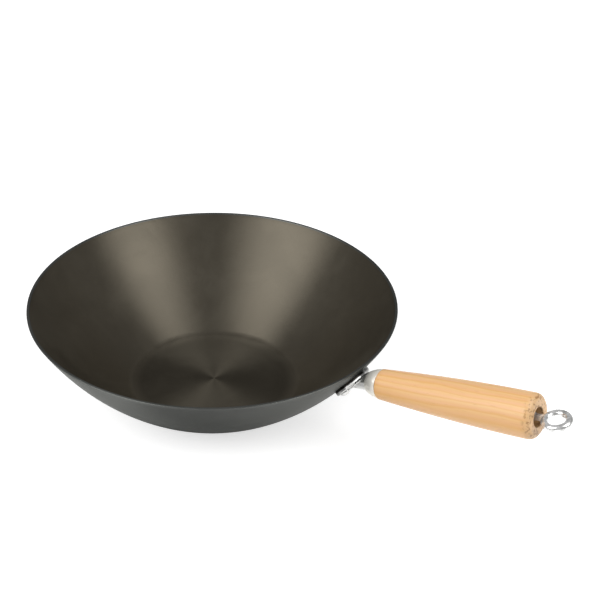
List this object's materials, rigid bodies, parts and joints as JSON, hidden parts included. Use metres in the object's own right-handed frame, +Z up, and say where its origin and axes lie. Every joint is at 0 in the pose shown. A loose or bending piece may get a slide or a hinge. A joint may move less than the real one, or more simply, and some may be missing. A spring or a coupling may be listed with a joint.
{
  "type": "wok",
  "caption": "Flat-based round wok with flared, bowed walls and one turned wooden grip, clamped to a riveted bracket by an eye bolt whose loop hangs the pan.",
  "frame": {"origin": "centre of the flat base, on the surface that the wok stands on", "axes": "+Z up, +X along the handle, away from the bowl"},
  "size_m": [0.5543, 0.356, 0.1309],
  "materials": {
    "seasoned_iron": "dark seasoned, satin, with fine turning lines",
    "plated_steel": "bright zinc plate",
    "chrome_plate": "polished plate",
    "pale_wood": "pale lacquered hardwood, grain along the handle"
  },
  "bodies": {
    "pan": {"wok_bowl": "seasoned_iron", "bracket_flange": "plated_steel", "rivet_left": "plated_steel", "rivet_right": "plated_steel", "neck_socket": "plated_steel", "ferrule": "chrome_plate", "grip": "pale_wood"},
    "washer": {"end_washer": "plated_steel"},
    "eye_bolt": {"eye_bolt": "chrome_plate"}
  },
  "joints": [
    {"name": "eye_bolt_travel", "type": "slide", "parent": "pan", "child": "washer", "axis": [0.9774, 0, 0.2113], "range_m": [0, 0.012]},
    {"name": "eye_bolt_turn", "type": "hinge", "parent": "washer", "child": "eye_bolt", "pos_m": [0.16405, 0, 0.073], "axis": [0.9774, 0, 0.2113], "range_deg": [0, 4320]}
  ],
  "couplings": [
    {"joint": "eye_bolt_turn", "follows": "eye_bolt_travel", "rad_per_m": 6283.2}
  ]
}
